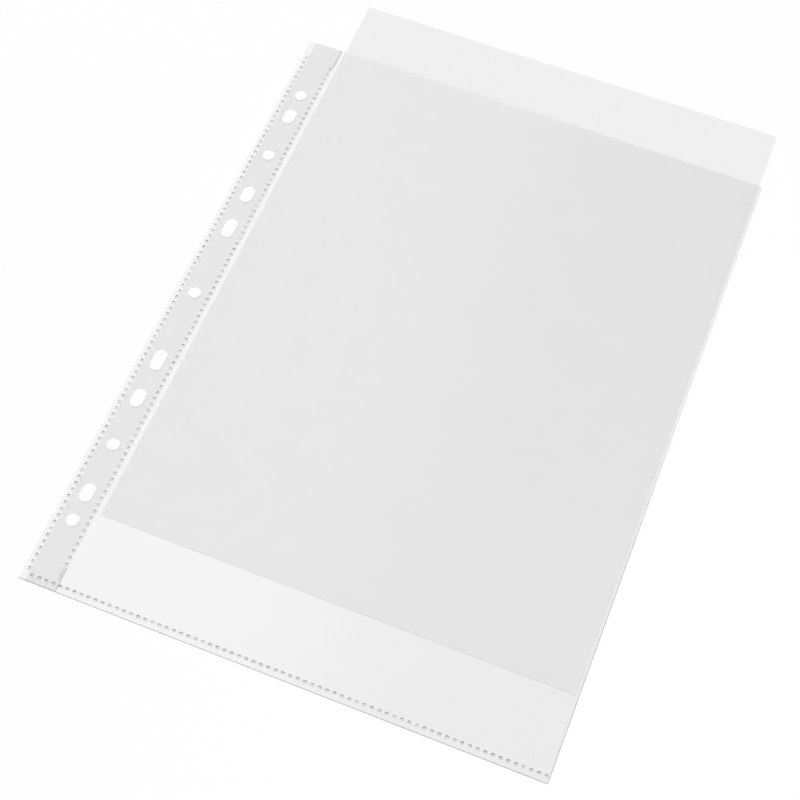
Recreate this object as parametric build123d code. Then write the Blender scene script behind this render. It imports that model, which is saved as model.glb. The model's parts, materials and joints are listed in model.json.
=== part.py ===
from build123d import *
import os

# A4 punched pocket, millimetres. It lies flat on its rear film.
# Origin: centre of the middle ring hole, on the rear face.
# +X runs from the ring holes to the folded edge, +Y to the open mouth, +Z up through the stack.

# Inserted sheet
SHEET_WIDTH = 210.0
SHEET_LENGTH = 297.0
SHEET_THICKNESS = 0.10
SHEET_RAISED = 33.8         # how far the sheet is drawn up from the bottom seam
SHEET_TO_STRIP = 2.1        # sheet's left edge to the binding strip
SHEET_TO_FOLD = 1.5         # sheet's right edge to the inside of the fold
SHEET_TO_SEAM = 0.4         # sheet's foot to the bottom weld when it is fully in
SLIDE_CLEARANCE = 0.16      # between the sheet and each film

# Film
FILM_THICKNESS = 0.10
MOUTH_COVER = 3.0           # film above the top of a sheet that is fully in
BOTTOM_MARGIN = 2.3         # film below the bottom weld

# Stitch welds: a heated toothed bar melts a row of small plugs through the stack
WELD_LENGTH = 1.7           # along the row
WELD_WIDTH = 1.3            # across the row
WELD_PITCH = 3.2
WELD_SINK = 0.04            # plug's top below the front face
OUTER_WELD_MARGIN = 1.6     # film outside the outer row
OUTER_ROW_FOOT = 5.5        # bottom edge to the outer row's first plug centre
OUTER_ROW_HEAD = 9.5        # mouth to the highest place for an outer plug centre
INNER_WELD_INSET = 0.35     # strip's inner edge to the inner row
INNER_ROW_FOOT = 12.5
INNER_ROW_HEAD = 12.0
FINE_WELD_LENGTH = 0.5      # finer teeth close the foot of the inner row
FINE_WELD_PITCH = 0.95
FINE_ROW_FOOT = 5.4
FINE_ROW_GAP = 0.6          # film between the fine plugs and the inner row
BOTTOM_ROW_START = 4.9      # left edge to the bottom row's first plug centre
BOTTOM_ROW_END = 0.1        # last plug to the start of the fold

# Binding strip
STRIP_WIDTH = 13.6
STRIP_TO_WELD = 0.2         # strip's outer edge to the outer row

# Ring holes, on one line: distance from the middle hole and length along the line.
# A hole as long as HOLE_WIDTH is round, a longer one is a slot.
HOLE_WIDTH = 6.0
HOLE_BACKSET = 8.8          # left edge to the line of holes
HOLE_ROW_DROP = 0.6         # middle hole below the middle of the pocket's height
HOLE_PAIRS = (
    (37.5, 11.0),
    (57.75, 9.5),
    (82.0, HOLE_WIDTH),
    (106.5, 9.0),
    (120.0, HOLE_WIDTH),
)

# Levels of the stack, from the rear face up
GAP = SHEET_THICKNESS + 2 * SLIDE_CLEARANCE
Z_REAR_INNER = FILM_THICKNESS
Z_FRONT_INNER = Z_REAR_INNER + GAP
Z_FRONT_OUTER = Z_FRONT_INNER + FILM_THICKNESS
Z_SHEET = Z_REAR_INNER + SLIDE_CLEARANCE
Z_WELD_TOP = Z_FRONT_OUTER - WELD_SINK

# Places across the page, from the left edge to the fold
X_LEFT = -HOLE_BACKSET
X_OUTER_ROW = X_LEFT + OUTER_WELD_MARGIN + WELD_WIDTH / 2
X_STRIP_OUTER = X_OUTER_ROW + WELD_WIDTH / 2 + STRIP_TO_WELD
X_STRIP_INNER = X_STRIP_OUTER + STRIP_WIDTH
X_INNER_ROW = X_STRIP_INNER - INNER_WELD_INSET - WELD_WIDTH / 2
X_SHEET_LEFT = X_STRIP_INNER + SHEET_TO_STRIP
X_SHEET_RIGHT = X_SHEET_LEFT + SHEET_WIDTH
X_FOLD = X_SHEET_RIGHT + SHEET_TO_FOLD - GAP / 2    # where the bend starts

# Places up the page
POCKET_HEIGHT = BOTTOM_MARGIN + WELD_WIDTH + SHEET_TO_SEAM + SHEET_LENGTH + MOUTH_COVER
Y_FOOT = HOLE_ROW_DROP - POCKET_HEIGHT / 2
Y_MOUTH = Y_FOOT + POCKET_HEIGHT
Y_BOTTOM_ROW = Y_FOOT + BOTTOM_MARGIN + WELD_WIDTH / 2
Y_SHEET_FOOT = Y_BOTTOM_ROW + WELD_WIDTH / 2 + SHEET_TO_SEAM + SHEET_RAISED


def panel(x_low, x_high, y_low, y_high):
    """Rectangle between two corners, as a flat profile."""
    middle = Pos((x_low + x_high) / 2, (y_low + y_high) / 2)
    return middle * Rectangle(x_high - x_low, y_high - y_low)


def ring_hole(y, length):
    """Outline of one punched hole on the line of holes."""
    if length > HOLE_WIDTH:
        return Pos(0, y) * SlotOverall(length, HOLE_WIDTH, rotation=90)
    return Pos(0, y) * Circle(HOLE_WIDTH / 2)


def ring_holes():
    """The middle hole, and the pairs that mirror each other about it."""
    holes = [ring_hole(0, HOLE_WIDTH)]
    for distance, length in HOLE_PAIRS:
        holes.append(ring_hole(distance, length))
        holes.append(ring_hole(-distance, length))
    return holes


def stations(first, last, pitch):
    """Plug centres at a steady pitch, from the first up to the last place allowed."""
    count = int((last - first) / pitch) + 1
    return [first + pitch * i for i in range(count)]


def upright_row(x, foot, head, length=WELD_LENGTH, pitch=WELD_PITCH):
    """Plug outlines of a weld that runs up the page, placed from the bottom edge and the mouth."""
    places = stations(Y_FOOT + foot, Y_MOUTH - head, pitch)
    return [Pos(x, y) * Rectangle(WELD_WIDTH, length) for y in places]


def fine_row():
    """Plug outlines of the finer teeth below the inner row."""
    top = INNER_ROW_FOOT - WELD_LENGTH / 2 - FINE_ROW_GAP - FINE_WELD_LENGTH / 2
    return upright_row(X_INNER_ROW, FINE_ROW_FOOT, POCKET_HEIGHT - top, FINE_WELD_LENGTH, FINE_WELD_PITCH)


def level_row(y, start, end):
    """Plug outlines of a weld that runs across the page, clear of the fold."""
    places = stations(X_LEFT + start, X_FOLD - end - WELD_LENGTH / 2, WELD_PITCH)
    return [Pos(x, y) * Rectangle(WELD_LENGTH, WELD_WIDTH) for x in places]


def lay(profile, z_low, z_high):
    """Gives a flat profile its thickness at its level in the stack."""
    return extrude(Pos(0, 0, z_low) * profile, amount=z_high - z_low, dir=(0, 0, 1))


def weld(row):
    """A row of separate plugs, from the rear film's inner face to just below the front face."""
    return lay(Sketch() + row, Z_REAR_INNER, Z_WELD_TOP)


def rear_film(holes):
    """Plain panel: the bar presses from the front, so the rear face stays smooth."""
    return lay(panel(X_LEFT, X_FOLD, Y_FOOT, Y_MOUTH) - holes, 0, Z_REAR_INNER)


def front_film(holes, plugs):
    """Panel with the ring holes and one window round each weld plug."""
    sheet = panel(X_LEFT, X_FOLD, Y_FOOT, Y_MOUTH) - holes - plugs
    return lay(sheet, Z_FRONT_INNER, Z_FRONT_OUTER)


def binding_strip(holes, plugs):
    """Ribbon that fills the margin between the films, pierced by the holes and the plugs."""
    ribbon = panel(X_STRIP_OUTER, X_STRIP_INNER, Y_FOOT, Y_MOUTH) - holes - plugs
    return lay(ribbon, Z_REAR_INNER, Z_FRONT_INNER)


def fold_edge():
    """The bend that joins the two films along the right edge: half a flat ring, drawn along Y."""
    bend_radius = GAP / 2 + FILM_THICKNESS
    right_half = Rectangle(bend_radius, 2 * bend_radius, align=(Align.MIN, Align.CENTER))
    bend = (Circle(bend_radius) - Circle(GAP / 2)) & right_half
    across = Plane((X_FOLD, Y_MOUTH, Z_FRONT_OUTER / 2), x_dir=(1, 0, 0), z_dir=(0, -1, 0))
    return extrude(across * bend, amount=POCKET_HEIGHT)


def paper_sheet():
    """A4 sheet, drawn up out of the mouth."""
    page = panel(X_SHEET_LEFT, X_SHEET_RIGHT, Y_SHEET_FOOT, Y_SHEET_FOOT + SHEET_LENGTH)
    return lay(page, Z_SHEET, Z_SHEET + SHEET_THICKNESS)


def main():
    holes = ring_holes()
    outer_row = upright_row(X_OUTER_ROW, OUTER_ROW_FOOT, OUTER_ROW_HEAD)
    inner_row = upright_row(X_INNER_ROW, INNER_ROW_FOOT, INNER_ROW_HEAD) + fine_row()
    bottom_row = level_row(Y_BOTTOM_ROW, BOTTOM_ROW_START, BOTTOM_ROW_END)
    plugs = outer_row + inner_row + bottom_row
    nodes = {
        "rear_film": rear_film(holes),
        "front_film": front_film(holes, plugs),
        "fold_edge": fold_edge(),
        "binding_strip": binding_strip(holes, plugs),
        "outer_weld": weld(outer_row),
        "inner_weld": weld(inner_row),
        "bottom_weld": weld(bottom_row),
        "paper_sheet": paper_sheet(),
    }
    os.makedirs("parts", exist_ok=True)
    for name, solid in nodes.items():
        export_step(solid, f"parts/{name}.step")
        print(f"{name}: {len(solid.solids())} solids, {solid.volume:.2f} mm3")
    print(f"pocket {X_FOLD + GAP / 2 + FILM_THICKNESS - X_LEFT:.2f} x {POCKET_HEIGHT:.2f} mm")


main()
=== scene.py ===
# %% [markdown]
# A punched pocket for a ring binder, with a sheet of paper drawn partly out of its mouth. The pocket is one
# web of clear film, folded once, with a milky ribbon in its margin and three rows of stitch welds. The frame
# holds every piece at its real place, in metres, so each cell reads the frame, makes the visible piece there,
# and says which CAD node it stands for.

import bmesh
import bpy
import json
import math
from mathutils import Matrix, Vector, noise
from mathutils.geometry import delaunay_2d_cdt


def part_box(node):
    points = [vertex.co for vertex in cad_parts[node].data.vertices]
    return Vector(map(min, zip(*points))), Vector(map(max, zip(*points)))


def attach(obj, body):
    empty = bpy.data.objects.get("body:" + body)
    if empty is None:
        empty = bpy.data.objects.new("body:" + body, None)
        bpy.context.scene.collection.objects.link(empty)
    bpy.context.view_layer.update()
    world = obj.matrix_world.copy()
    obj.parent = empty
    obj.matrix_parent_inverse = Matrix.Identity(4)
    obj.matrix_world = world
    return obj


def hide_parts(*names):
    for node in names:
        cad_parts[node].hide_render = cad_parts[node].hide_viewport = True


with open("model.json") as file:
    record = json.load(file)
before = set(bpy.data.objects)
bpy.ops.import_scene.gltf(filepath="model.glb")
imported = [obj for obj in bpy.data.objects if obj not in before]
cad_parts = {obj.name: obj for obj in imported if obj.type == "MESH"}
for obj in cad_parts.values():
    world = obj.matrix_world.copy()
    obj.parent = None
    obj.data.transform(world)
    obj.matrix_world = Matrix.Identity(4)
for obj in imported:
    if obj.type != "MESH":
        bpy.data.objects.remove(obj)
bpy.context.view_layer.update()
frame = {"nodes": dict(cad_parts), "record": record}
MM = 0.001

# %% [markdown]
# The levels and edges come from the boxes of the CAD nodes. The ring holes come from the record's mounts.
# Each weld node holds separate plugs in one row, so the sorted edges along the row, taken two by two, give
# every plug's middle and length.

# %% Sizes from the frame
X_AXIS, Y_AXIS = 0, 1
rear_low, rear_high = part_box("rear_film")
front_low, front_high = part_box("front_film")
fold_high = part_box("fold_edge")[1]
strip_low, strip_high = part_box("binding_strip")
page_low, page_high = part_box("paper_sheet")
FILM = front_high.z - front_low.z
LEFT, FOLD = front_low.x, front_high.x
FOOT, MOUTH = front_low.y, front_high.y


def ring_holes():
    """Height on the line of holes, length and width of each punched hole."""
    holes = []
    for mount in frame["record"]["mounts"]:
        dims = mount["dims"]
        if mount["kind"] == "bore":
            holes.append((0.0, 2 * dims["r_mm"] * MM, 2 * dims["r_mm"] * MM))
        if mount["kind"] == "bolt_pattern":
            width = 2 * dims["hole_r_mm"] * MM
            length = dims.get("slot_length_mm", 2 * dims["hole_r_mm"]) * MM
            reach = dims["spacing_y_mm"] / 2 * MM
            holes += [(reach, length, width), (-reach, length, width)]
    return holes


def plugs(node, axis):
    """Middle and length of each plug of a weld, along its row."""
    marks = sorted({v.co[axis] for v in frame["nodes"][node].data.vertices})
    return [((low + high) / 2, high - low) for low, high in zip(marks[0::2], marks[1::2])]


def row_place(node, axis):
    """Middle and width of a weld's row, across it."""
    low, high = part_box(node)
    return (low[axis] + high[axis]) / 2, high[axis] - low[axis]


holes = ring_holes()
outer_plugs = plugs("outer_weld", Y_AXIS)
inner_plugs = plugs("inner_weld", Y_AXIS)
bottom_plugs = plugs("bottom_weld", X_AXIS)
OUTER_X, WELD_WIDTH = row_place("outer_weld", X_AXIS)
INNER_X = row_place("inner_weld", X_AXIS)[0]
BOTTOM_Y = row_place("bottom_weld", Y_AXIS)[0]
print(len(holes), "ring holes")
print(len(outer_plugs), "outer,", len(inner_plugs), "inner and", len(bottom_plugs), "bottom plugs")

# %% [markdown]
# Shader maths reads best as plain arithmetic. This class wraps one socket of a node tree. An expression such
# as 1 - mask adds the Math node that it needs, and the add method makes any other node: its settings are set
# first, then the values or links of its sockets. The weld's Geometry Nodes are built with the same class
# further down.

# %% Node wires


class Wire:
    """One output socket of a node tree, for use in expressions."""

    def __init__(self, tree, output=None):
        self.tree = tree
        self.output = output

    def add(self, kind, settings=None, values=None, pick=0):
        """Adds a node and wraps the output named or numbered by pick."""
        node = self.tree.nodes.new(kind)
        for name, value in (settings or {}).items():
            setattr(node, name, value)
        for name, value in (values or {}).items():
            if isinstance(value, Wire):
                self.tree.links.new(value.output, node.inputs[name])
            else:
                node.inputs[name].default_value = value
        return Wire(self.tree, node.outputs[pick] if node.outputs else None)

    def other(self, pick):
        """Another output of the same node."""
        return Wire(self.tree, self.output.node.outputs[pick])

    def math(self, operation, a, b):
        return self.add("ShaderNodeMath", {"operation": operation}, {0: a, 1: b})

    def __add__(self, b):
        return self.math("ADD", self, b)

    def __radd__(self, a):
        return self.math("ADD", a, self)

    def __rsub__(self, a):
        return self.math("SUBTRACT", a, self)

    def __mul__(self, b):
        return self.math("MULTIPLY", self, b)

    def __rmul__(self, a):
        return self.math("MULTIPLY", a, self)

    def __truediv__(self, b):
        return self.math("DIVIDE", self, b)

    def __pow__(self, b):
        return self.math("POWER", self, b)


def new_material(name):
    """An empty node material, with a wire to start from."""
    material = bpy.data.materials.new(name)
    material.use_nodes = True
    material.node_tree.nodes.clear()
    return material, Wire(material.node_tree)


def finish_material(start, surface):
    start.add("ShaderNodeOutputMaterial", values={"Surface": surface})


def grey(value):
    """A neutral colour."""
    return (value, value, value, 1.0)


def place(start):
    """Where a shaded point is on the object, in metres."""
    return start.add("ShaderNodeTexCoord", pick="Object")


def grain(start, size, detail, stretch=(1, 1, 1)):
    """Even noise between 0 and 1 with features of about that size, longer where stretch is above 1."""
    scale = tuple(1 / (size * s) for s in stretch)
    spread = start.add("ShaderNodeMapping", values={"Vector": place(start), "Scale": scale})
    values = {"Vector": spread, "Scale": 1.0, "Detail": detail}
    return start.add("ShaderNodeTexNoise", values=values, pick="Fac")


def shades(start, mask, dark, light):
    """A grey between two shades, by a mask."""
    values = {0: mask, 6: grey(dark), 7: grey(light)}
    return start.add("ShaderNodeMix", {"data_type": "RGBA"}, values, pick=2)


def bump(start, height, depth):
    """Fine relief, as deep as depth where the height is 1."""
    return start.add("ShaderNodeBump", values={"Height": height, "Distance": depth, "Strength": 1.0})


# %% [markdown]
# Polypropylene film is clear, with a faint haze and a soft gloss. Glass that bends light would also stop the
# lamps, so the sheet below would go dark. A film this thin hardly bends light, so the finish mixes a
# Transparent shader with a glossy one. The share of gloss is small from above and grows towards a grazing
# look, as on any clear plastic.

# %% Clear film
FILM_HAZE = 0.062           # share of the film's own surface, seen from above
FILM_GRAZE = 0.8            # the most that is added at a grazing look
GRAZE_POWER = 5             # how late it is added
FILM_CLEAR = 0.988          # what each face lets through
EDGE_CLEAR = 0.95
CREASE_ROUND = 35 * MM      # height above which the fold is round
CREASE_SHARP = -50 * MM     # height below which it is pressed flat


def veil(start, clear, body, share):
    """Mixes a see-through shader with the film's own surface, which takes over at a grazing look."""
    facing = start.add("ShaderNodeLayerWeight", values={"Blend": 0.5}, pick="Facing")
    total = share + (1 - share) * (FILM_GRAZE * facing ** GRAZE_POWER)
    passed = start.add("ShaderNodeBsdfTransparent", values={"Color": grey(clear)})
    return start.add("ShaderNodeMixShader", values={0: total, 1: passed, 2: body})


def clear_film():
    material, start = new_material("clear_film")
    clouds = grain(start, 40 * MM, 3.0)
    pebble = grain(start, 0.35 * MM, 1.0)
    body = start.add("ShaderNodeBsdfPrincipled", values={
        "Base Color": shades(start, clouds, 0.53, 0.61),
        "Roughness": 0.32 + 0.1 * clouds,
        "Coat Weight": 1.0,
        "Coat Roughness": 0.2,
        "Coat IOR": 2.15,
        "Normal": bump(start, pebble, 0.004 * MM),
    })
    finish_material(start, veil(start, FILM_CLEAR, body, FILM_HAZE * (0.85 + 0.3 * clouds)))
    return material


def cut_edge(name, share):
    """A cut edge, painted dark: light trapped in the sheet leaves it elsewhere, so the edge looks dark and
    glossy, and this finish paints that dark look into its colour as painted shade.
    """
    material, start = new_material(name)
    streaks = grain(start, 2.0 * MM, 2.0)
    body = start.add("ShaderNodeBsdfPrincipled", values={
        "Base Color": shades(start, streaks, 0.10, 0.26),
        "Roughness": 0.2 + 0.2 * streaks,
    })
    finish_material(start, veil(start, EDGE_CLEAR, body, share * (0.8 + 0.4 * streaks)))
    return material


def creased_film():
    """The fold: pressed flat towards the foot, where the crease is painted darker as painted shade, and round
    near the mouth.
    """
    material, start = new_material("creased_film")
    height = start.add("ShaderNodeSeparateXYZ", values={0: place(start)}, pick="Y")
    pressed = start.add("ShaderNodeMapRange", values={
        "Value": height, "From Min": CREASE_ROUND, "From Max": CREASE_SHARP})
    # painted shade in the pressed crease, patchy by noise
    crease_shade = pressed * (0.7 + 0.6 * grain(start, 5 * MM, 2.0))
    body = start.add("ShaderNodeBsdfPrincipled", values={
        "Base Color": shades(start, crease_shade, 0.57, 0.12),
        "Roughness": 0.3,
        "Coat Weight": 1.0,
        "Coat Roughness": 0.2,
    })
    finish_material(start, veil(start, FILM_CLEAR, body, FILM_HAZE + 0.13 * crease_shade))
    return material


film_finish, fold_finish = clear_film(), creased_film()
edge_finish, bead_finish = cut_edge("cut_edge", 0.7), cut_edge("hot_cut_bead", 0.33)
print("made", ", ".join(m.name for m in (film_finish, fold_finish, edge_finish, bead_finish)))

# %% [markdown]
# The ribbon is thicker film of the same plastic, made milky so that the margin does not tear on the rings. It
# came off a roll, so its faint cloudiness is drawn out along its length.

# %% Milky ribbon
RIBBON_CLEAR = 0.984
RIBBON_DRAW = (1, 14, 1)    # how much longer than wide its streaks are


def milky_ribbon():
    material, start = new_material("milky_ribbon")
    drawn = grain(start, 1.2 * MM, 3.0, RIBBON_DRAW)
    clouds = grain(start, 18 * MM, 2.0)
    body = start.add("ShaderNodeBsdfPrincipled", values={
        "Base Color": shades(start, 0.6 * drawn + 0.4 * clouds, 0.57, 0.65),
        "Roughness": 0.4 + 0.15 * drawn,
        "Normal": bump(start, drawn, 0.006 * MM),
    })
    finish_material(start, veil(start, RIBBON_CLEAR, body, 0.09 + 0.03 * clouds))
    return material


ribbon_finish = milky_ribbon()
print("made", ribbon_finish.name)

# %% [markdown]
# A stitch weld is a row of small prints of a hot toothed bar. Inside a print the films have run together and
# are clear. Its rim is a steep melted edge: one side bends the light away and looks dark, the other catches
# it and looks paler. That light is painted into the rim's colour: deep painted shade on the dark side and a
# lighter painted shade on the pale one. The mesh carries four attributes: ring is 1 on the rim and 0
# elsewhere, shade is 1 on the dark side and 0 on the pale one, strength differs from print to print and sets
# how dark the rim is painted, and milk is 1 where the milky ribbon is melted in. Noise makes the rims'
# painted shade ragged, so that no two prints look the same.

# %% Melted weld
WELD_CLEAR = 0.985
WELD_HAZE = 0.06            # share of a print's own surface, and as much again where the ribbon is melted in
MILK_SHADE = 0.25           # darkness of a print's floor in the ribbon
PALE_SHADE = 0.4            # darkness of a rim's pale side against its dark one
PALE_SHARE = 0.55           # share of its own surface, against the dark one's
RAG_SIZE = 0.8 * MM         # of the patches in which a rim is weak or strong
WEAK_RIM, STRONG_RIM = 0.5, 1.25


def melted_weld():
    material, start = new_material("melted_weld")
    ring, shade, strength, milk = (
        start.add("ShaderNodeAttribute", {"attribute_name": name}, pick="Fac")
        for name in ("ring", "shade", "strength", "milk")
    )
    # painted shade on the rim, darker on its shaded side; the print's floor in the ribbon takes the milk's
    # own tone
    darkness = ring * (PALE_SHADE + (1 - PALE_SHADE) * shade) + (1 - ring) * (MILK_SHADE * milk)
    body = start.add("ShaderNodeBsdfPrincipled", values={
        "Base Color": shades(start, darkness, 0.92, 0.04),
        "Roughness": 0.18,
        "Coat Weight": 1.0,
        "Coat Roughness": 0.08,
    })
    ragged = start.add("ShaderNodeMapRange", values={
        "Value": grain(start, RAG_SIZE, 1.0),
        "From Min": 0.38,
        "From Max": 0.58,
        "To Min": WEAK_RIM,
        "To Max": STRONG_RIM,
    })
    # how much of the rim's painted shade shows, in ragged weak and strong patches
    rim = ring * strength * ragged * (PALE_SHARE + (1 - PALE_SHARE) * shade)
    finish_material(start, veil(start, WELD_CLEAR, body, WELD_HAZE + WELD_HAZE * milk + rim))
    return material


weld_finish = melted_weld()
print("made", weld_finish.name)

# %% [markdown]
# The sheet is plain uncoated paper: white with a little grey, dull, with fibres too fine to see from a step
# away. Two scales of noise give it cloudy formation and a fibre texture that only a close look shows.

# %% Plain paper
FIBRE_DRAW = (1, 3, 1)      # how much longer than wide the fibres are


def plain_paper():
    material, start = new_material("plain_paper")
    formation = grain(start, 3.0 * MM, 3.0)
    fibre = grain(start, 0.12 * MM, 3.0, FIBRE_DRAW)
    body = start.add("ShaderNodeBsdfPrincipled", values={
        "Base Color": shades(start, 0.5 * formation + 0.5 * fibre, 0.86, 0.89),
        "Roughness": 0.8 + 0.1 * fibre,
        "Specular IOR Level": 0.25,
        "Normal": bump(start, fibre, 0.012 * MM),
    })
    finish_material(start, body)
    return material


paper_finish = plain_paper()
print("made", paper_finish.name)

# %% [markdown]
# Film, ribbon and paper are flat cuts. A flat cut is triangulated from its outline, its cutouts and a scatter
# of seed points that let it bend later. A constrained Delaunay triangulation keeps every edge of the outline
# and the cutouts, and says which loops each triangle fell in, so the triangles inside a cutout are left out.

# %% Flat cuts
HOLE_STEPS = 9              # in a quarter turn of a ring hole
CLOSE = 1e-7                # points nearer than this are one point
CUT_MARGIN = 1e-8           # of the triangulation
KEEP_INSIDE = 1             # the triangulation's way of leaving out what is outside all loops


def rounded_loop(x, y, width, length, radius, steps):
    """Points round a rectangle with rounded corners. A radius of half the width gives a slot or a circle."""
    points = []
    for turn, (sx, sy) in enumerate(((1, 1), (-1, 1), (-1, -1), (1, -1))):
        cx, cy = x + sx * (width / 2 - radius), y + sy * (length / 2 - radius)
        for step in range(steps + 1):
            angle = math.pi / 2 * (turn + step / steps)
            points.append((cx + radius * math.cos(angle), cy + radius * math.sin(angle)))
    return points


def merged(points):
    """Leaves out a point that repeats the one before it, as the last does where a slot closes on itself."""
    kept = []
    for index, point in enumerate(points):
        before = Vector(points[index - 1])
        if (Vector(point) - before).length > CLOSE:
            kept.append(point)
    return kept


def steps_between(low, high, spacing):
    """Evenly spaced values from low to high, no further apart than spacing."""
    count = math.ceil((high - low) / spacing)
    return [low + (high - low) * i / count for i in range(count + 1)]


def sheet_loop(x_low, x_high, y_low, y_high, spacing):
    """Points round a plain rectangle, with the same stations on opposite edges."""
    xs, ys = steps_between(x_low, x_high, spacing), steps_between(y_low, y_high, spacing)
    loop = [(x, y_low) for x in xs[:-1]]
    loop += [(x_high, y) for y in ys[:-1]]
    loop += [(x, y_high) for x in reversed(xs[1:])]
    loop += [(x_low, y) for y in reversed(ys[1:])]
    return loop


def scatter(x_low, x_high, y_low, y_high, spacing):
    """A grid of seed points inside a rectangle, clear of its edges."""
    xs, ys = steps_between(x_low, x_high, spacing), steps_between(y_low, y_high, spacing)
    return [(x, y) for x in xs[1:-1] for y in ys[1:-1]]


def cut_sheet(outline, cutouts, seeds, zones=()):
    """Points and triangles of a flat cut, with seed points inside, and the zone of each triangle.

    A zone is a loop on the sheet with a look of its own: 1 for the first, 0 for the rest of the sheet.
    """
    points, loops = [], []
    for loop in [outline, *zones, *cutouts]:
        loops.append(list(range(len(points), len(points) + len(loop))))
        points += loop
    points = [Vector(p) for p in points + seeds]
    flat, _, triangles, _, _, origin = delaunay_2d_cdt(points, [], loops, KEEP_INSIDE, CUT_MARGIN)
    kept = []
    for triangle, inside in zip(triangles, origin):
        if 0 in inside and max(inside) <= len(zones):
            kept.append((triangle, max(inside)))
    used = sorted({i for triangle, _ in kept for i in triangle})
    number = {old: new for new, old in enumerate(used)}
    renumbered = [[number[i] for i in triangle] for triangle, _ in kept]
    return [flat[i] for i in used], renumbered, [zone for _, zone in kept]


hole_loops = [
    merged(rounded_loop(0, y, width, length, width / 2, HOLE_STEPS))
    for y, length, width in holes
]
print(len(hole_loops), "hole outlines of", len(hole_loops[0]), "points or more")

# %% [markdown]
# The film lies on the ribbon and on the sheet. Outside the ribbon and along the foot the weld presses the two
# films together, so the front film slopes down across those rows. Between the welds it stands up in a very
# low pillow, with slack ripples. All of this is one height function, which the weld prints use as well.

# %% How the front film lies
TOP = front_high.z
PRESSED = 0.28 * MM         # how far a weld draws the front film down
SLOPE = 1.7 * MM            # from the ribbon or the foot's break to the end of the slope
SLOPE_GAP = 0.05 * MM       # from the ribbon to the start of the slope
RIBBON_RUN = 1.5 * MM       # beside the ribbon, over which the foot's slope sets in
FOOT_BREAK = BOTTOM_Y + WELD_WIDTH / 2 + 0.2 * MM    # where the film starts to fall to the foot
PILLOW = 0.45 * MM          # rise over the middle of the pocket
PILLOW_RUN = 45 * MM        # over which it rises
RIPPLE = 0.05 * MM
RIPPLE_RUN = 6 * MM         # over which the ripples set in
LONG_WAVE, SHORT_WAVE = 38 * MM, 15 * MM
SHORT_SHARE = 0.5           # height of the short waves against the long ones


def ease(value, start, end):
    """0 before start, 1 after end, smooth between."""
    t = min(1.0, max(0.0, (value - start) / (end - start)))
    return t * t * (3 - 2 * t)


def front_level(x, y):
    """Height of the front film's outer face."""
    outside = ease(x, strip_low.x - SLOPE_GAP, strip_low.x - SLOPE)
    off_ribbon = max(ease(x, strip_high.x, strip_high.x + RIBBON_RUN), outside)
    at_foot = ease(y, FOOT_BREAK, FOOT_BREAK - SLOPE)
    drop = max(outside, at_foot * off_ribbon)
    across = ease(x, strip_high.x, strip_high.x + PILLOW_RUN) * ease(x, FOLD, FOLD - PILLOW_RUN)
    along = ease(y, BOTTOM_Y + WELD_WIDTH, BOTTOM_Y + PILLOW_RUN)
    loose = ease(x, strip_high.x, strip_high.x + RIPPLE_RUN) * ease(x, FOLD, FOLD - RIPPLE_RUN)
    loose *= ease(y, BOTTOM_Y + WELD_WIDTH, BOTTOM_Y + RIPPLE_RUN)
    wave = noise.noise(Vector((x, y, 0)) / LONG_WAVE)
    wave += SHORT_SHARE * noise.noise(Vector((y, x, 1)) / SHORT_WAVE)
    return TOP - PRESSED * drop + PILLOW * across * along + RIPPLE * (1 + wave) * loose


highest = front_level((LEFT + FOLD) / 2, 0.0)
print(f"film stands at {TOP / MM:.2f} mm, and at {highest / MM:.2f} mm over the middle of the pocket")

# %% [markdown]
# The web of film is modelled as it is made: one piece that runs from the front panel round the fold to the
# rear panel. Both panels are flat cuts with the same stations along the fold. The front panel has a window
# for each weld print, and both have the ring holes. A row of half turns joins them, and Solidify gives the
# film its thickness inwards. Only the cut edge at the foot keeps a finish of its own, painted dark as
# painted shade; the other cut edges take the film's finish.

# %% Folded film
PRINT_CORNER = 0.4 * MM
CORNER_SHARE = 0.45         # the most that a corner takes of a short print's length
FINE_WIDTH = 0.75 * MM      # of the short prints at the foot of the inner weld
PRINT_STEPS = 2             # in the corner of a print
BEND_STEPS = 10             # in the half turn of the fold
PANEL_STEP = 6 * MM
SEAM_STEP = 1.6 * MM        # between seed points on the lines where the film bends
LEFT_SEAM = 0.5 * MM        # such a line's distance from the left edge
RIBBON_SEAM = 0.6 * MM      # from the ribbon
FOOT_SEAM = 0.9 * MM        # and from the foot
ON_EDGE = 0.05 * MM         # a face nearer than this to an edge belongs to it
SMOOTH_ANGLE = math.radians(35)
FILM_SLOT, EDGE_SLOT, FOLD_SLOT = 0, 1, 2       # of the film's three finishes


def print_width(length):
    """Width of a weld print, across its row."""
    return WELD_WIDTH if length > WELD_WIDTH else FINE_WIDTH


def print_loops(row, place_across, along_axis):
    """Outlines of a row's weld prints."""
    loops = []
    for middle, length in row:
        width, radius = print_width(length), min(PRINT_CORNER, CORNER_SHARE * length)
        if along_axis == Y_AXIS:
            loops.append(rounded_loop(place_across, middle, width, length, radius, PRINT_STEPS))
        else:
            loops.append(rounded_loop(middle, place_across, length, width, radius, PRINT_STEPS))
    return loops


outer_loops = print_loops(outer_plugs, OUTER_X, Y_AXIS)
inner_loops = print_loops(inner_plugs, INNER_X, Y_AXIS)
bottom_loops = print_loops(bottom_plugs, BOTTOM_Y, X_AXIS)


def new_piece(name, mesh, finishes):
    """Links a mesh to the scene with its finishes."""
    piece = bpy.data.objects.new(name, mesh)
    bpy.context.scene.collection.objects.link(piece)
    for finish in finishes:
        mesh.materials.append(finish)
    return piece


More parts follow.
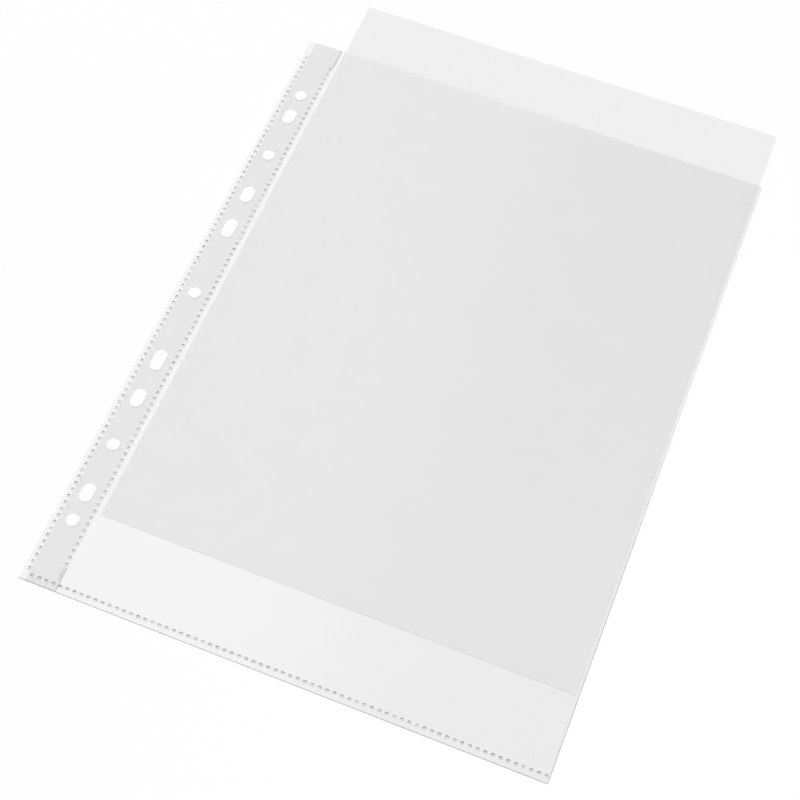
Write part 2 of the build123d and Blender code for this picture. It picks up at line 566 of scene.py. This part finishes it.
def settle(piece, slot, body, *nodes):
    """Applies the piece's modifiers, then says what it rides on and stands for."""
    drawn = piece.evaluated_get(bpy.context.evaluated_depsgraph_get())
    mesh = bpy.data.meshes.new_from_object(drawn)
    piece.modifiers.clear()
    piece.data = mesh
    mesh.name = piece.name
    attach(piece, body)
    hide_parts(*nodes)
    print(piece.name, len(mesh.polygons), "faces, stands for", ", ".join(nodes))


def thicken(piece, thickness, rim_material=0):
    """Gives a sheet its thickness inwards from its outer face."""
    solid = piece.modifiers.new("thickness", "SOLIDIFY")
    solid.thickness = thickness
    solid.offset = -1
    solid.material_offset_rim = rim_material


def finish_edges(mesh, slot, choose):
    """Gives each face of the cut edge's slot the slot that choose finds for it."""
    for face in mesh.polygons:
        if face.material_index == slot:
            face.material_index = choose(face.center, face.normal)


def film_edge_slot(spot, normal):
    """The foot's edge is painted dark with the cut-edge finish, as painted shade. The mouth, the left edge,
    the holes and the windows look clean.
    """
    return EDGE_SLOT if spot.y < FOOT + ON_EDGE else FILM_SLOT


def smooth_faces(mesh):
    mesh.shade_smooth()
    mesh.set_sharp_from_angle(angle=SMOOTH_ANGLE)


def folded_film():
    outline = sheet_loop(LEFT, FOLD, FOOT, MOUTH, PANEL_STEP)
    seeds = scatter(LEFT, FOLD, FOOT, MOUTH, PANEL_STEP)
    seam_xs = (strip_low.x, LEFT + LEFT_SEAM, strip_high.x + RIBBON_SEAM)
    seams = [(x, y) for x in seam_xs for y in steps_between(FOOT, MOUTH, SEAM_STEP)[1:-1]]
    seam_ys = (FOOT_BREAK, FOOT + FOOT_SEAM)
    seams += [(x, y) for y in seam_ys for x in steps_between(strip_high.x + MM, FOLD, SEAM_STEP)[1:-1]]
    windows = outer_loops + inner_loops + bottom_loops
    mesh = bpy.data.meshes.new("folded_film")
    shape = bmesh.new()

    def add_panel(cutouts, points, level, upward):
        flat, triangles, _ = cut_sheet(outline, cutouts, points)
        corners = [shape.verts.new((*p, level(*p))) for p in flat]
        for triangle in triangles:
            shape.faces.new([corners[i] for i in (triangle if upward else reversed(triangle))])

    add_panel(hole_loops + windows, seeds + seams, front_level, True)
    add_panel(hole_loops, seeds, lambda x, y: rear_low.z, False)
    reach = fold_high.x - FOLD
    turns = [math.pi * (0.5 - i / BEND_STEPS) for i in range(BEND_STEPS + 1)]
    rings = []
    for y in steps_between(FOOT, MOUTH, PANEL_STEP):
        middle = (front_level(FOLD, y) + rear_low.z) / 2
        half = front_level(FOLD, y) - middle
        spots = [(FOLD + reach * math.cos(t), y, middle + half * math.sin(t)) for t in turns]
        rings.append([shape.verts.new(spot) for spot in spots])
    for low, high in zip(rings, rings[1:]):
        for i in range(BEND_STEPS):
            face = shape.faces.new((low[i], low[i + 1], high[i + 1], high[i]))
            face.material_index = FOLD_SLOT
    bmesh.ops.remove_doubles(shape, verts=shape.verts, dist=CLOSE)
    shape.to_mesh(mesh)
    shape.free()
    piece = new_piece("folded_film", mesh, [film_finish, edge_finish, fold_finish])
    thicken(piece, FILM, rim_material=EDGE_SLOT)
    settle(piece, "clear_film", "pocket", "front_film", "fold_edge", "rear_film")
    finish_edges(piece.data, EDGE_SLOT, film_edge_slot)
    smooth_faces(piece.data)
    return piece


film = folded_film()

# %% [markdown]
# The ribbon lies between the films, flush with the foot and the mouth. Its flat cut has the same ring holes,
# and the prints of the inner weld and the first few bottom prints go through it. Along the inner weld the
# bar has melted the ribbon clear between the prints, so that land has the weld's finish. Where the inner edge
# runs on past the weld, the slit edge looks like a fine dark line, which is painted shade: a thin band of the
# dark cut-edge finish on the ribbon along that edge. The land and the two lines are zones of the one flat
# cut.

# %% Ribbon
SEAT = 0.02 * MM            # air between faces that only touch
# the slit lines are painted shade, bands of the dark cut-edge finish
FOOT_SLIT = 0.105 * MM      # width of the dark line at the ribbon's foot
HEAD_SLIT = 0.2 * MM        # and at its head
LAND = 1.65 * MM            # width of the land along the inner weld
main_prints = [middle for middle, length in inner_plugs if length > WELD_WIDTH]
LAND_ENDS = (main_prints[0] - MM, main_prints[-1] + MM)
HOLE_REACH = max(width for _, _, width in holes) / 2 + ON_EDGE
HOLE_FREE = 6 * MM          # at the ribbon's two ends, where there are no ring holes
NEAR_TURN = 0.6             # how much the right side counts in what faces the camera
NEAR_SHARE = 0.3            # the least that a wall has to face it
HEAD_SHARE = 0.5            # a face that points this much up the page is the ribbon's head
MILKY_SLOT, LAND_SLOT, SLIT_SLOT = 0, 1, 2      # of the ribbon's three finishes


def within_ribbon(loop):
    return all(strip_low.x < x < strip_high.x for x, _ in loop)


def on_land(x, y):
    return x > strip_high.x - LAND and LAND_ENDS[0] < y < LAND_ENDS[1]


def near_hole_wall(spot, normal):
    """The wall on a ring hole's near and right side, which a look through the film meets from behind. Only
    this side gets the dark cut-edge finish, as painted shade.
    """
    in_hole = abs(spot.x) < HOLE_REACH and FOOT + HOLE_FREE < spot.y < MOUTH - HOLE_FREE
    return in_hole and normal.y - NEAR_TURN * normal.x > NEAR_SHARE


def ribbon_edge_slot(spot, normal):
    """The near and right walls of the punched holes and the slit edge beyond the land get the dark cut-edge
    finish, as painted shade.
    """
    if on_land(spot.x, spot.y):
        return LAND_SLOT
    on_slit = spot.x > strip_high.x - HEAD_SLIT and normal.y < HEAD_SHARE
    return SLIT_SLOT if on_slit or near_hole_wall(spot, normal) else MILKY_SLOT


def ribbon():
    outline = sheet_loop(strip_low.x, strip_high.x, FOOT, MOUTH, PANEL_STEP)
    prints = [loop for loop in inner_loops + bottom_loops if within_ribbon(loop)]
    edge = strip_high.x
    land = sheet_loop(edge - LAND, edge, *LAND_ENDS, PANEL_STEP)
    ends = ((FOOT_SLIT, FOOT, LAND_ENDS[0]), (HEAD_SLIT, LAND_ENDS[1], MOUTH))
    slits = [sheet_loop(edge - width, edge, low, high, PANEL_STEP) for width, low, high in ends]
    flat, triangles, zones = cut_sheet(outline, hole_loops + prints, [], [land] + slits)
    mesh = bpy.data.meshes.new("ribbon")
    level = strip_high.z - SEAT
    mesh.from_pydata([(*p, level) for p in flat], [], triangles)
    mesh.polygons.foreach_set("material_index", [min(zone, SLIT_SLOT) for zone in zones])
    piece = new_piece("ribbon", mesh, [ribbon_finish, weld_finish, edge_finish])
    thicken(piece, level - strip_low.z - SEAT, rim_material=SLIT_SLOT)
    settle(piece, "milky_strip", "pocket", "binding_strip")
    finish_edges(piece.data, SLIT_SLOT, ribbon_edge_slot)


ribbon()

# %% [markdown]
# The foot of the pocket is cut with a hot wire, which leaves a fine bead along the cut. It is a thin closed
# tube, a little uneven, that takes in the edges of both films. Its finish is the dark cut-edge finish, so
# the dark line along the foot is painted shade.

# %% Cut bead at the foot
BEAD_WIDTH = 0.22 * MM
BEAD_SIDES = 8
BEAD_STEP = 3 * MM
BEAD_RISE = 0.02 * MM       # over the film, on average
BEAD_WAVE = 4 * MM


def foot_bead():
    mesh = bpy.data.meshes.new("foot_bead")
    shape = bmesh.new()
    turns = [2 * math.pi * i / BEAD_SIDES for i in range(BEAD_SIDES)]
    rings = []
    for x in steps_between(LEFT, FOLD, BEAD_STEP):
        top = front_level(x, FOOT) + BEAD_RISE * (1 + noise.noise(Vector((x / BEAD_WAVE, 0, 5))))
        middle = (top + rear_low.z) / 2
        ring = []
        for turn in turns:
            y = FOOT + BEAD_WIDTH / 2 * (1 + math.cos(turn))
            ring.append(shape.verts.new((x, y, middle + (top - middle) * math.sin(turn))))
        rings.append(ring)
    for left, right in zip(rings, rings[1:]):
        for i in range(BEAD_SIDES):
            shape.faces.new((left[i - 1], right[i - 1], right[i], left[i]))
    shape.faces.new(rings[0])
    shape.faces.new(reversed(rings[-1]))
    bmesh.ops.recalc_face_normals(shape, faces=shape.faces)
    shape.to_mesh(mesh)
    shape.free()
    piece = new_piece("foot_bead", mesh, [bead_finish])
    smooth_faces(mesh)
    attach(piece, "pocket")
    print("foot_bead", len(mesh.polygons), "faces")


foot_bead()

# %% [markdown]
# Every weld print is the same small shape, so Geometry Nodes make it once and set it on each plug's middle,
# scaled to that print's length and width. The shape grows from a rounded rectangle: an outer wall, a raised
# lip, and a sloping wall down to the print's floor. After the instances are made real, each print's foot is
# drawn down to the rear film, so the weld joins the layers, and each face stores how far it points to the
# shaded side, which the weld finish paints as shade. A small random turn and strength, with a fixed seed,
# keep the prints from looking stamped by a machine with no wear; the strength sets how dark a rim is painted.

# %% Weld prints
LIP = 0.05 * MM
DIMPLE = 0.14 * MM
CREST, RIM, FLOOR = 0.97, 0.92, 0.5     # size of each new top against the one before it
# rim faces turned to the shaded side are painted dark, as painted shade, and the rest lighter
SHADED_SIDE = (0.25, -0.97, 0.0)        # rim faces that point this way look dark
SHADE_MIDDLE, SHADE_SPREAD = 0.55, 0.9
PRINT_GAP = 0.03 * MM       # between a print and the window that it fills
FAINTEST = 0.7              # strength of the faintest print against the strongest
SHORT_FADE = 0.2            # how much weaker a short print is
NUDGE = 0.03                # largest random turn, in radians
SAME_PLACE = 1e-6           # points nearer than this are merged


def weld_tree():
    """The Geometry Nodes tree that turns plug middles into weld prints."""
    tree = bpy.data.node_groups.new("weld_prints", "GeometryNodeTree")
    sockets = (
        ("Plug middles", "NodeSocketGeometry"), ("Width", "NodeSocketFloat"), ("Length", "NodeSocketFloat"),
        ("Corner", "NodeSocketFloat"), ("Lip", "NodeSocketFloat"), ("Dimple", "NodeSocketFloat"),
        ("Foot level", "NodeSocketFloat"), ("Turn", "NodeSocketFloat"), ("Shaded side", "NodeSocketVector"),
        ("Strength", "NodeSocketFloat"), ("Seed", "NodeSocketInt"), ("Finish", "NodeSocketMaterial"),
    )
    for name, kind in sockets:
        tree.interface.new_socket(name, in_out="INPUT", socket_type=kind)
    tree.interface.new_socket("Prints", in_out="OUTPUT", socket_type="NodeSocketGeometry")
    start = Wire(tree)
    given = start.add("NodeGroupInput")
    lip, dimple = given.other("Lip"), given.other("Dimple")

    def carried(name):
        """Reads a named value of the points."""
        return start.add("GeometryNodeInputNamedAttribute", {"data_type": "FLOAT"}, {"Name": name})

    def store(geometry, domain, name, value):
        """Writes a named value on the points or faces."""
        settings = {"data_type": "FLOAT", "domain": domain}
        values = {"Geometry": geometry, "Name": name, "Value": value}
        return start.add("GeometryNodeStoreNamedAttribute", settings, values)

    def raise_faces(mesh, chosen, rise, shrink):
        """Extrudes the chosen faces by rise and shrinks the new top. Gives the mesh and two face masks."""
        values = {"Mesh": mesh, "Selection": chosen, "Offset Scale": rise, "Individual": False}
        grown = start.add("GeometryNodeExtrudeMesh", {"mode": "FACES"}, values)
        top, sides = grown.other("Top"), grown.other("Side")
        values = {"Geometry": grown, "Selection": top, "Scale": shrink}
        return start.add("GeometryNodeScaleElements", values=values), top, sides

    def random_value(low, high, seed):
        """A value between low and high for each point."""
        values = {"Min": low, "Max": high, "ID": index, "Seed": seed}
        return start.add("FunctionNodeRandomValue", {"data_type": "FLOAT"}, values, pick="Value")

    frame_curve = start.add("GeometryNodeCurvePrimitiveQuadrilateral", values={
        "Width": given.other("Width"), "Height": given.other("Length")})
    rounded = start.add("GeometryNodeFilletCurve", {"mode": "POLY"}, {
        "Curve": frame_curve, "Radius": given.other("Corner"), "Count": PRINT_STEPS, "Limit Radius": True})
    plate = start.add("GeometryNodeFillCurve", {"mode": "NGONS"}, {"Curve": rounded})
    under = start.add("GeometryNodeFlipFaces", values={"Mesh": plate})
    wall, crest, _ = raise_faces(plate, True, lip, CREST)
    lipped, inner, _ = raise_faces(wall, crest, 0.0, RIM)
    dished, _, inner_wall = raise_faces(lipped, inner, 0.0 - (lip + dimple), FLOOR)
    ringed = store(dished, "FACE", "ring", inner_wall)
    closed = start.add("GeometryNodeJoinGeometry")
    for part in (under, ringed):
        tree.links.new(part.output, closed.output.node.inputs[0])
    welded = start.add("GeometryNodeMergeByDistance", values={"Geometry": closed, "Distance": SAME_PLACE})
    index = start.add("GeometryNodeInputIndex")
    spot = start.add("GeometryNodeInputPosition")
    height = start.add("ShaderNodeSeparateXYZ", values={0: spot}, pick="Z")
    at_foot = start.add("FunctionNodeCompare", {"operation": "EQUAL"}, {
        "A": height, "B": 0.0, "Epsilon": SAME_PLACE})
    footed = store(welded, "POINT", "foot", at_foot)

    seed = given.other("Seed")
    stretch = carried("plug_length") / given.other("Length")
    narrowing = carried("plug_width") / given.other("Width")
    varied = random_value(FAINTEST, 1.0, seed)
    own_strength = given.other("Strength") * varied * stretch ** SHORT_FADE
    middles = store(given, "POINT", "strength", own_strength)
    nudge = random_value(-NUDGE, NUDGE, seed + 1)
    turn = start.add("ShaderNodeCombineXYZ", values={"Z": given.other("Turn") + nudge})
    size = start.add("ShaderNodeCombineXYZ", values={"X": narrowing, "Y": stretch, "Z": 1.0})
    prints = start.add("GeometryNodeInstanceOnPoints", values={
        "Points": middles, "Instance": footed, "Rotation": turn, "Scale": size})
    real = start.add("GeometryNodeRealizeInstances", values={"Geometry": prints})

    here = start.add("GeometryNodeInputPosition")
    x, y = (start.add("ShaderNodeSeparateXYZ", values={0: here}, pick=axis) for axis in "XY")
    low = start.add("ShaderNodeCombineXYZ", values={"X": x, "Y": y, "Z": given.other("Foot level")})
    chosen = start.add("FunctionNodeCompare", {"operation": "GREATER_THAN"}, {"A": carried("foot"), "B": 0.5})
    seated = start.add("GeometryNodeSetPosition", values={
        "Geometry": real, "Selection": chosen, "Position": low})
    # painted shade: each face's shade is how far it points to the shaded side
    normal = start.add("GeometryNodeInputNormal")
    away = start.add("ShaderNodeVectorMath", {"operation": "DOT_PRODUCT"}, {
        0: normal, 1: given.other("Shaded side")}, pick="Value")
    shade = start.add("ShaderNodeClamp", values={"Value": SHADE_MIDDLE + SHADE_SPREAD * away})
    shaded = store(seated, "FACE", "shade", shade)
    dressed = start.add("GeometryNodeSetMaterial", values={
        "Geometry": shaded, "Material": given.other("Finish")})
    start.add("NodeGroupOutput", values={"Prints": dressed})
    return tree


weld_nodes = weld_tree()


def weld_row(name, row, place_across, along_axis, node, strength, seed):
    """One row of weld prints as a plain mesh."""
    spots = [(place_across, m) if along_axis == Y_AXIS else (m, place_across) for m, _ in row]
    mesh = bpy.data.meshes.new(name + "_middles")
    mesh.from_pydata([(x, y, front_level(x, y)) for x, y in spots], [], [])

    def carry(attribute, values):
        """Stores one value for each plug middle."""
        mesh.attributes.new(attribute, "FLOAT", "POINT").data.foreach_set("value", values)

    in_milk = [strip_low.x < x < strip_high.x and not on_land(x, y) for x, y in spots]
    carry("plug_length", [length - 2 * PRINT_GAP for _, length in row])
    carry("plug_width", [print_width(length) - 2 * PRINT_GAP for _, length in row])
    carry("milk", [float(milky) for milky in in_milk])
    piece = new_piece(name, mesh, [])
    made = piece.modifiers.new("prints", "NODES")
    made.node_group = weld_nodes
    sizes = {
        "Width": WELD_WIDTH - 2 * PRINT_GAP,
        "Length": max(length for _, length in row) - 2 * PRINT_GAP,
        "Corner": PRINT_CORNER,
        "Lip": LIP,
        "Dimple": DIMPLE,
        "Foot level": rear_high.z + SEAT,
        "Turn": 0.0 if along_axis == Y_AXIS else math.pi / 2,
        "Shaded side": SHADED_SIDE,
        "Strength": strength,
        "Seed": seed,
        "Finish": weld_finish,
    }
    for item in weld_nodes.interface.items_tree:
        if item.in_out == "INPUT" and item.name in sizes:
            made[item.identifier] = sizes[item.name]
    settle(piece, "weld", "pocket", node)


# each row's strength sets how dark its print rims are painted
weld_row("outer_weld_prints", outer_plugs, OUTER_X, Y_AXIS, "outer_weld", strength=0.85, seed=11)
weld_row("inner_weld_prints", inner_plugs, INNER_X, Y_AXIS, "inner_weld", strength=1.05, seed=23)
weld_row("bottom_weld_prints", bottom_plugs, BOTTOM_Y, X_AXIS, "bottom_weld", strength=1.2, seed=37)

# %% [markdown]
# The sheet is a flat cut of paper. It is a little wavy, as paper is that has been handled, but by less than
# the room between the films, so that it still slides.

# %% Page
PAGE_STEP = 7 * MM
PAGE_WAVE = 0.05 * MM       # height of its waves
PAGE_WAVE_LENGTH = 60 * MM


def page():
    outline = sheet_loop(page_low.x, page_high.x, page_low.y, page_high.y, PAGE_STEP)
    seeds = scatter(page_low.x, page_high.x, page_low.y, page_high.y, PAGE_STEP)
    flat, triangles, _ = cut_sheet(outline, [], seeds)
    mesh = bpy.data.meshes.new("page")
    wave = [PAGE_WAVE * noise.noise(Vector((*p, 2)) / PAGE_WAVE_LENGTH) for p in flat]
    mesh.from_pydata([(*p, page_high.z + w) for p, w in zip(flat, wave)], [], triangles)
    piece = new_piece("page", mesh, [paper_finish])
    thicken(piece, page_high.z - page_low.z)
    settle(piece, "paper", "sheet", "paper_sheet")
    smooth_faces(piece.data)


page()

# %% [markdown]
# The set is a pale floor that shows white to the camera, also through the film, and still takes the object's
# shadow. Away from the lamps its own light makes up for theirs, so it meets the white world without a
# horizon.

# %% Floor and world
FLOOR_DROP = 0.06 * MM      # air under the rear film
FLOOR_SIZE = 6.0
FLOOR_SHADE = 0.19          # what it gives back of the lamps' light
NEAR_GLOW = 0.805           # its own light near the object, full strength far off
GLOW_START, GLOW_END = 0.5, 1.4     # distances between which its own light grows
SKY_LIGHT = 0.24            # the world's light on the object, at full strength where it is seen


def seen_directly(start):
    """1 for rays that show a surface itself: from the camera, by a mirror or through glass."""
    path = start.add("ShaderNodeLightPath")
    seen = path.math("MAXIMUM", path.other("Is Camera Ray"), path.other("Is Glossy Ray"))
    return path.math("MAXIMUM", seen, path.other("Is Transmission Ray"))


def floor_finish():
    material, start = new_material("floor")
    lit = start.add("ShaderNodeBsdfDiffuse", values={"Color": grey(FLOOR_SHADE)})
    reach = start.add("ShaderNodeVectorMath", {"operation": "LENGTH"}, {0: place(start)}, pick="Value")
    far = start.add("ShaderNodeMapRange", values={
        "Value": reach, "From Min": GLOW_START, "From Max": GLOW_END})
    strength = (NEAR_GLOW + (1 - NEAR_GLOW) * far) * seen_directly(start)
    glow = start.add("ShaderNodeEmission", values={"Color": grey(1.0), "Strength": strength})
    finish_material(start, start.add("ShaderNodeAddShader", values={0: lit, 1: glow}))
    return material


def floor():
    mesh = bpy.data.meshes.new("floor")
    half, level = FLOOR_SIZE / 2, rear_low.z - FLOOR_DROP
    corners = [(-half, -half, level), (half, -half, level), (half, half, level), (-half, half, level)]
    mesh.from_pydata(corners, [], [(0, 1, 2, 3)])
    ground = new_piece("floor", mesh, [floor_finish()])


def studio_world():
    world = bpy.data.worlds.new("studio")
    bpy.context.scene.world = world
    world.use_nodes = True
    world.node_tree.nodes.clear()
    start = Wire(world.node_tree)
    strength = SKY_LIGHT + (1 - SKY_LIGHT) * seen_directly(start)
    sky = start.add("ShaderNodeBackground", values={"Color": grey(1.0), "Strength": strength})
    start.add("ShaderNodeOutputWorld", values={"Surface": sky})


floor()
studio_world()
print("floor", FLOOR_SIZE, "m wide")

# %% [markdown]
# Two soft boxes light the set. The large one stands behind and to the left, where the film's left half
# mirrors its near edge: that gives the slow fall from light to grey across the pocket. The small one opens
# the shade in front.

# %% Lights


def soft_box(name, spot, target, width, height, watts):
    lamp = bpy.data.lights.new(name, "AREA")
    lamp.shape = "RECTANGLE"
    lamp.size, lamp.size_y = width, height
    lamp.energy = watts
    box = bpy.data.objects.new(name, lamp)
    bpy.context.scene.collection.objects.link(box)
    box.location = spot
    box.rotation_euler = (Vector(target) - Vector(spot)).to_track_quat("-Z", "Y").to_euler()
    box.visible_camera = False
    print(name, width, "by", height, "m,", watts, "W")


soft_box("key_box", (-1.32, 1.0, 1.8), target=(-1.32, 1.0, 0.0), width=2.3, height=2.0, watts=42.0)
soft_box("fill_box", (1.1, -0.6, 1.1), target=(0.1, 0.0, 0.0), width=0.9, height=0.9, watts=15.0)

# %% [markdown]
# The camera looks down on the page from the front and a little from the right. The lens and the place come
# from fitting the edges of the sheet and the pocket and the ring holes in the photograph, with a small turn
# about the line of sight and a small sideways shift. A look through the margin crosses film, ribbon and
# prints, each with two faces, so more see-through faces than usual are allowed in a row.

# %% Camera
LENS = 74.22
SENSOR = 36.0
SHIFT = -0.02
NEAREST = 0.01              # what is nearer to the lens is not seen
CAMERA_SPOT = Vector((0.2245, -0.3300, 0.6353))
LOOK_AT = Vector((0.1122, -0.0134, 0.0))
ROLL = math.radians(2.21)
SEE_THROUGH_FACES = 32


def photo_camera():
    lens = bpy.data.cameras.new("camera")
    lens.lens = LENS
    lens.sensor_width = SENSOR
    lens.shift_x = SHIFT
    lens.clip_start = NEAREST
    camera = bpy.data.objects.new("camera", lens)
    bpy.context.scene.collection.objects.link(camera)
    camera.location = CAMERA_SPOT
    aim = (LOOK_AT - CAMERA_SPOT).to_track_quat("-Z", "Y")
    camera.rotation_euler = (aim.to_matrix() @ Matrix.Rotation(ROLL, 3, "Z")).to_euler()
    bpy.context.scene.camera = camera
    print(f"camera with a {LENS} mm lens, {(LOOK_AT - CAMERA_SPOT).length:.2f} m from the page")


photo_camera()
bpy.context.scene.view_settings.view_transform = "Standard"
bpy.context.scene.cycles.transparent_max_bounces = SEE_THROUGH_FACES
